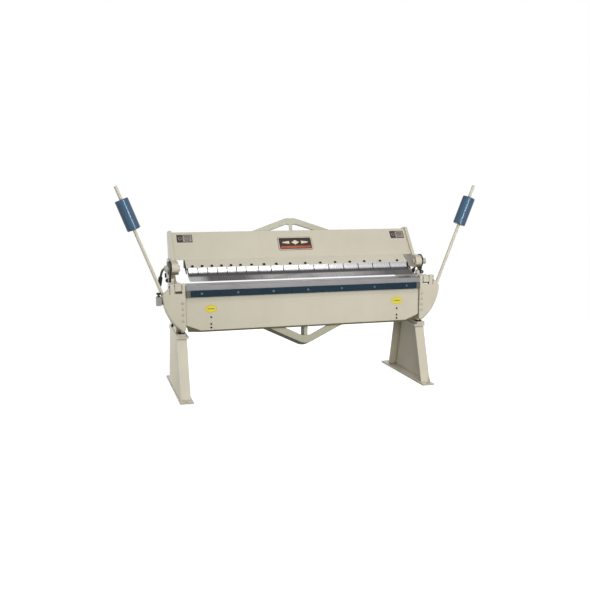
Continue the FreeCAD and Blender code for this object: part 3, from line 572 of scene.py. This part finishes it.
def rounded(half_x, half_y, radius, steps=4):
    """Outline of a round-cornered rectangle about its centre."""
    points = []
    for sx, sy, quarter in ((1, 1, 0), (-1, 1, 1), (-1, -1, 2), (1, -1, 3)):
        for i in range(steps + 1):
            turn = math.pi / 2 * (quarter + i / steps)
            points.append((sx * (half_x - radius) + radius * math.cos(turn),
                           sy * (half_y - radius) + radius * math.sin(turn)))
    return points


def on_panel(outline, x, along, base):
    return [panel_spot(x + dx, along + dy, base) for dx, dy in outline]


def add_panel_ring(bm, half_x, half_y, radius, width, x, along, base, height):
    """A raised frame on the panel: outer and inner walls and a domed top."""
    levels = ((0.0, 0.0), (0.0, 0.7), (0.25, 1.0), (0.75, 1.0), (1.0, 0.7), (1.0, 0.0))
    loops = []
    for inward, lift in levels:
        inset = inward * width
        shape = rounded(half_x - inset, half_y - inset, max(0.5 * MM, radius - inset))
        loops.append([bm.verts.new(p) for p in on_panel(shape, x, along, base + lift * height)])
    count = len(loops[0])
    for first, second in zip(loops, loops[1:] + loops[:1]):
        for i in range(count):
            j = (i + 1) % count
            bm.faces.new((first[i], first[j], second[j], second[i]))


def add_pin(bm, x, along, base, radius):
    """Domed drive pin head on the panel."""
    out = panel_spot(x, along, 1.0) - panel_spot(x, along, 0.0)
    profile = [(-0.0005, radius), (0.0005, radius), (0.0012, 0.8 * radius), (0.0016, 0.35 * radius)]
    add_lathe(bm, panel_spot(x, along, base), out, profile, 14)


def build_badge():
    """Plain badge: raised cream frame, a brown band, a lozenge between two bars, and four pins."""
    middle, half_x, half_y, face = 0.1325, 0.146, 0.0635, 0.002
    rim_inset, rim_radius, rim_width, rim_height = 0.003, 0.014, 0.006, 0.0014
    ornament, band, band_half, pin_inset, pin_reach = 0.010, -0.036, 0.011, 0.014, 0.048
    bm = bmesh.new()
    add_panel_ring(bm, half_x - rim_inset, half_y - rim_inset, rim_radius, rim_width, 0, middle,
                   face, rim_height)
    lozenge = [(-0.034, 0), (0, -0.022), (0.034, 0), (0, 0.022)]
    bars = [[(0.05, 0.014), (0.05, -0.014), (0.108, -0.005), (0.108, 0.005)],
            [(-0.108, 0.005), (-0.108, -0.005), (-0.05, -0.014), (-0.05, 0.014)]]
    step = panel_spot(0, 0, 1.2 * MM) - panel_spot(0, 0)
    for outline in [lozenge] + bars:
        add_prism(bm, on_panel(outline, 0, middle + ornament, face), step)
    make_piece("badge_ornament", bm, "leaf", "badge_cream")
    bm = bmesh.new()
    outline = rounded(half_x - 0.018, band_half, 0.004)
    add_prism(bm, on_panel(outline, 0, middle + band, face), step)
    make_piece("badge_band", bm, "leaf", "badge_brown")
    bm = bmesh.new()
    for sx in (-1, 1):
        for sy in (-1, 1):
            add_pin(bm, sx * (half_x - pin_inset), middle + sy * pin_reach, face, 3 * MM)
    make_piece("badge_pins", bm, "leaf", "bright_screws")


def build_data_plates():
    """On each data plate: a pale field with ruled lines, a plain ring at its left, and pins."""
    low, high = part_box("data_plates")
    middle, half_x, face = 0.201, 0.062, 0.0012
    field_x, ring_x, ring_half = 0.021, -0.036, 0.014
    lines = ((0.018, 0.026), (0.006, 0.028), (-0.006, 0.028), (-0.018, 0.020))   # height, half length
    pin_x, pin_y = 0.0585, 0.0325
    step = panel_spot(0, 0, 0.8 * MM) - panel_spot(0, 0)
    fields, rules, pins = bmesh.new(), bmesh.new(), bmesh.new()
    for centre in (low.x + half_x, high.x - half_x):
        outline = rounded(0.035, 0.029, 0.002)
        add_prism(fields, on_panel(outline, centre + field_x, middle, face), step)
        add_panel_ring(fields, ring_half, ring_half, ring_half - 0.5 * MM, 4 * MM, centre + ring_x,
                       middle, face, 0.8 * MM)
        for height, half in lines:
            outline = rounded(half, 0.0022, 0.001, 2)
            place = on_panel(outline, centre + field_x, middle + height, face + step.length)
            add_prism(rules, place, step)
        for sx in (-1, 1):
            for sy in (-1, 1):
                add_pin(pins, centre + sx * pin_x, middle + sy * pin_y, face, 1.8 * MM)
    make_piece("data_plate_fields", fields, "leaf", "data_field")
    make_piece("data_plate_rules", rules, "leaf", "black_screws")
    make_piece("data_plate_pins", pins, "leaf", "bright_screws")


def build_label_marks():
    """A plain inner rim and bar on each oval label."""
    low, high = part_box("oval_labels")
    half_x, half_z, face, lift = 0.048, (high.z - low.z) / 2, low.y, 0.4 * MM
    rim_out, rim_in, steps = 4.0 * MM, 5.6 * MM, 40
    bm = bmesh.new()
    for sign in (-1, 1):
        centre = Vector((sign * (high.x - half_x), face, (low.z + high.z) / 2))
        loops = []
        for inset, out in ((rim_out, 0.0), (rim_out, lift), (rim_in, lift), (rim_in, 0.0)):
            loop = []
            for i in range(steps):
                turn = 2 * math.pi * i / steps
                spot = Vector(((half_x - inset) * math.cos(turn), -out, (half_z - inset) * math.sin(turn)))
                loop.append(bm.verts.new(centre + spot))
            loops.append(loop)
        for first, second in zip(loops, loops[1:] + loops[:1]):
            for i in range(steps):
                j = (i + 1) % steps
                bm.faces.new((first[i], first[j], second[j], second[i]))
        bar = [centre + Vector((dx, 0, dz)) for dx, dz in rounded(0.027, 0.004, 0.002, 3)]
        add_prism(bm, bar, Vector((0, -lift, 0)))
    make_piece("label_marks", bm, "apron", "label_mark")


def build_setback_screws():
    """Set-back screws with their threads and fluted hand knobs."""
    back = Vector((0, 1, 0))
    pitch, turns, thread_start = 0.003, 27, 0.029
    crest, root = 0.008, 0.0066
    stem = [(0.0, 0.0065), (0.0015, crest), (0.028, crest)]
    for turn in range(turns):
        place = thread_start + pitch * turn
        stem += [(place, root), (place + 0.0008, root + 0.0002), (place + 0.0015, crest),
                 (place + 0.0022, crest - 0.0001)]
    stem += [(0.1105, crest), (0.111, 0.015), (0.122, 0.015), (0.1225, 0.010)]
    knob = [(0.122, 0.029), (0.124, 0.0335), (0.127, 0.0345), (0.141, 0.0345), (0.144, 0.0335),
            (0.146, 0.029), (0.146, 0.012), (0.1445, 0.009)]
    for side, sign in SIDES:
        low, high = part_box(side + "_setback_screw")
        start = Vector(((low.x + high.x) / 2, low.y, (low.z + high.z) / 2))
        bm = bmesh.new()
        add_lathe(bm, start, back, stem, 28)
        add_lathe(bm, start, back, knob, 96, flutes=8, depth=0.0045)
        piece = make_piece(side + "_threaded_setback_screw", bm, side + "_screw", "black_screws", 40)
        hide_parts(side + "_setback_screw")


def build_grips():
    """Ribbed rubber grips on the clamp levers."""
    ribs, first_rib, rib_pitch = 11, 0.010, 0.0075
    profile = [(0.0, 0.0115), (0.002, 0.0150), (0.006, 0.0165)]
    for rib in range(ribs):
        place = first_rib + rib_pitch * rib
        profile += [(place, 0.0165), (place + 0.001, 0.0150), (place + 0.0022, 0.0148),
                    (place + 0.0034, 0.0166), (place + 0.0055, 0.0169)]
    profile += [(0.097, 0.0169), (0.101, 0.0155), (0.104, 0.0115), (GRIP_LENGTH, 0.006)]
    for side, sign in SIDES:
        low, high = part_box(side + "_lever_grip")
        axis = Vector(mirror_x(GRIP_AXIS, sign)).normalized()
        start = (low + high) / 2 - axis * GRIP_LENGTH / 2
        bm = bmesh.new()
        add_lathe(bm, start, axis, profile, 32)
        piece = make_piece(side + "_ribbed_grip", bm, side + "_clamp", "black_grip", 50)
        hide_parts(side + "_lever_grip")


def build_link_nuts():
    """Nut and washer on the outer end of each link pin."""
    washer = [(-0.0005, 0.0165), (0.0020, 0.0165), (0.0025, 0.016)]
    nut = [(0.0025, 0.0135), (0.0035, 0.0145), (0.0115, 0.0145), (0.0125, 0.0135)]
    pin_end = [(0.0125, 0.0085), (0.0155, 0.0085), (0.0165, 0.0070)]
    low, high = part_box("link_pins")
    for side, sign in SIDES:
        out = Vector((sign, 0, 0))
        start = Vector((sign * high.x, (low.y + high.y) / 2, (low.z + high.z) / 2))
        bm = bmesh.new()
        for profile, sides in ((washer, 32), (nut, 6), (pin_end, 24)):
            add_lathe(bm, start, out, profile, sides)
        make_piece(side + "_link_nut", bm, "saddles", "black_screws", 30)


build_leg_welds()
build_truss_welds()
build_end_plate_welds()
build_badge()
build_data_plates()
build_label_marks()
build_setback_screws()
build_grips()
build_link_nuts()


# ---------------------------------------------------------------- stage
def build_floor():
    """A pale floor that fades out into the bright studio well away from the machine."""
    bpy.ops.mesh.primitive_plane_add(size=40, location=(0, 0, 0))
    floor = bpy.context.object
    floor.name = "studio_floor"
    s = Shader("studio_floor")
    rays = s.add("ShaderNodeLightPath").outputs["Is Camera Ray"]
    pale = s.mix(s.noise(0.6, 3.0), (0.62, 0.62, 0.62, 1), (0.60, 0.60, 0.60, 1))
    s.set(Base_Color=s.mix(rays, (0.30, 0.29, 0.27, 1.0), pale))
    s.set(Roughness=s.ramp(s.noise(4.0, 3.0), 0.3, 0.7, 0.6, 0.7), Specular_IOR_Level=0.2)
    s.set(Emission_Color=(1.0, 1.0, 1.0, 1.0), Emission_Strength=s.math("MULTIPLY", rays, 0.72))
    reach = s.add("ShaderNodeVectorMath", {0: s.place}, operation="LENGTH").outputs["Value"]
    s.set(Alpha=s.ramp(reach, 2.0, 5.0, 1.0, 0.0))
    floor.data.materials.append(s.material)


def build_world():
    """Soft light all round; the camera sees white, and mirrors see white except high at the back."""
    world = bpy.data.worlds.new("studio")
    world.use_nodes = True
    bpy.context.scene.world = world
    nodes, links = world.node_tree.nodes, world.node_tree.links
    soft = nodes["Background"]
    soft.inputs[0].default_value = (1.0, 0.985, 0.96, 1.0)
    soft.inputs[1].default_value = 0.36
    seen = nodes.new("ShaderNodeBackground")
    seen.inputs[0].default_value = (1.0, 1.0, 1.0, 1.0)
    away = nodes.new("ShaderNodeSeparateXYZ")
    links.new(nodes.new("ShaderNodeTexCoord").outputs["Generated"], away.inputs[0])
    lean = nodes.new("ShaderNodeMath")
    lean.operation = "MULTIPLY_ADD"
    lean.inputs[1].default_value = 0.6
    links.new(away.outputs[1], lean.inputs[0])
    links.new(away.outputs[2], lean.inputs[2])
    overhead = nodes.new("ShaderNodeMapRange")
    for socket, value in zip(overhead.inputs[1:5], (0.72, 1.0, 1.0, 0.45)):
        socket.default_value = value
    links.new(lean.outputs[0], overhead.inputs[0])
    mirrored = nodes.new("ShaderNodeBackground")
    links.new(overhead.outputs[0], mirrored.inputs[1])
    rays = nodes.new("ShaderNodeLightPath").outputs
    last = soft.outputs[0]
    for kind, other in (("Is Glossy Ray", mirrored), ("Is Camera Ray", seen)):
        chosen = nodes.new("ShaderNodeMixShader")
        links.new(rays[kind], chosen.inputs[0])
        links.new(last, chosen.inputs[1])
        links.new(other.outputs[0], chosen.inputs[2])
        last = chosen.outputs[0]
    links.new(last, nodes["World Output"].inputs[0])


def add_area(name, place, target, size, power, mirrored=True):
    """A rectangular light aimed at a target; shiny surfaces mirror it unless told otherwise."""
    data = bpy.data.lights.new(name, "AREA")
    data.shape = "RECTANGLE"
    data.size, data.size_y = size
    data.energy = power
    light = bpy.data.objects.new(name, data)
    light.location = place
    light.visible_glossy = mirrored
    light.rotation_euler = (Vector(target) - Vector(place)).to_track_quat("-Z", "Y").to_euler()
    bpy.context.scene.collection.objects.link(light)
    return light


def add_camera():
    """The viewpoint: eye height, in front of the machine and a little to its left."""
    data = bpy.data.cameras.new("camera")
    data.lens, data.sensor_width = 47.09, 36.0
    look_down, turn_right = 8.3, 16.1
    camera = bpy.data.objects.new("camera", data)
    camera.location = (-1.762, -6.028, 1.640)
    camera.rotation_euler = (math.radians(90.0 - look_down), 0.0, math.radians(-turn_right))
    bpy.context.scene.collection.objects.link(camera)
    bpy.context.scene.camera = camera


build_floor()
build_world()
add_area("key", (0.9, -5.3, 2.1), (0, 0, 0.75), (3.4, 1.8), 172, mirrored=False)
add_area("overhead", (0.0, -3.0, 4.4), (0, -0.2, 1.0), (3.2, 0.5), 36)
side = add_area("left_side", (-2.6, 0.4, 0.25), (-1.0, 0.05, 0.22), (1.0, 0.5), 8.5, mirrored=False)
side.data.spread = math.radians(100)
side.data.color = (0.92, 0.96, 1.0)
add_area("right_side", (4.4, 0.6, 1.3), (1.0, 0, 0.6), (1.6, 1.6), 45, mirrored=False)
add_area("back", (0.4, 4.2, 2.4), (0, 0, 0.8), (3.0, 1.6), 70, mirrored=False)
streak = add_area("streak", (0.9, -5.0, 2.1), (0, 0, 1.6), (0.6, 1.3), 50)
streak.visible_diffuse = False
add_camera()
bpy.context.scene.view_settings.view_transform = "Standard"
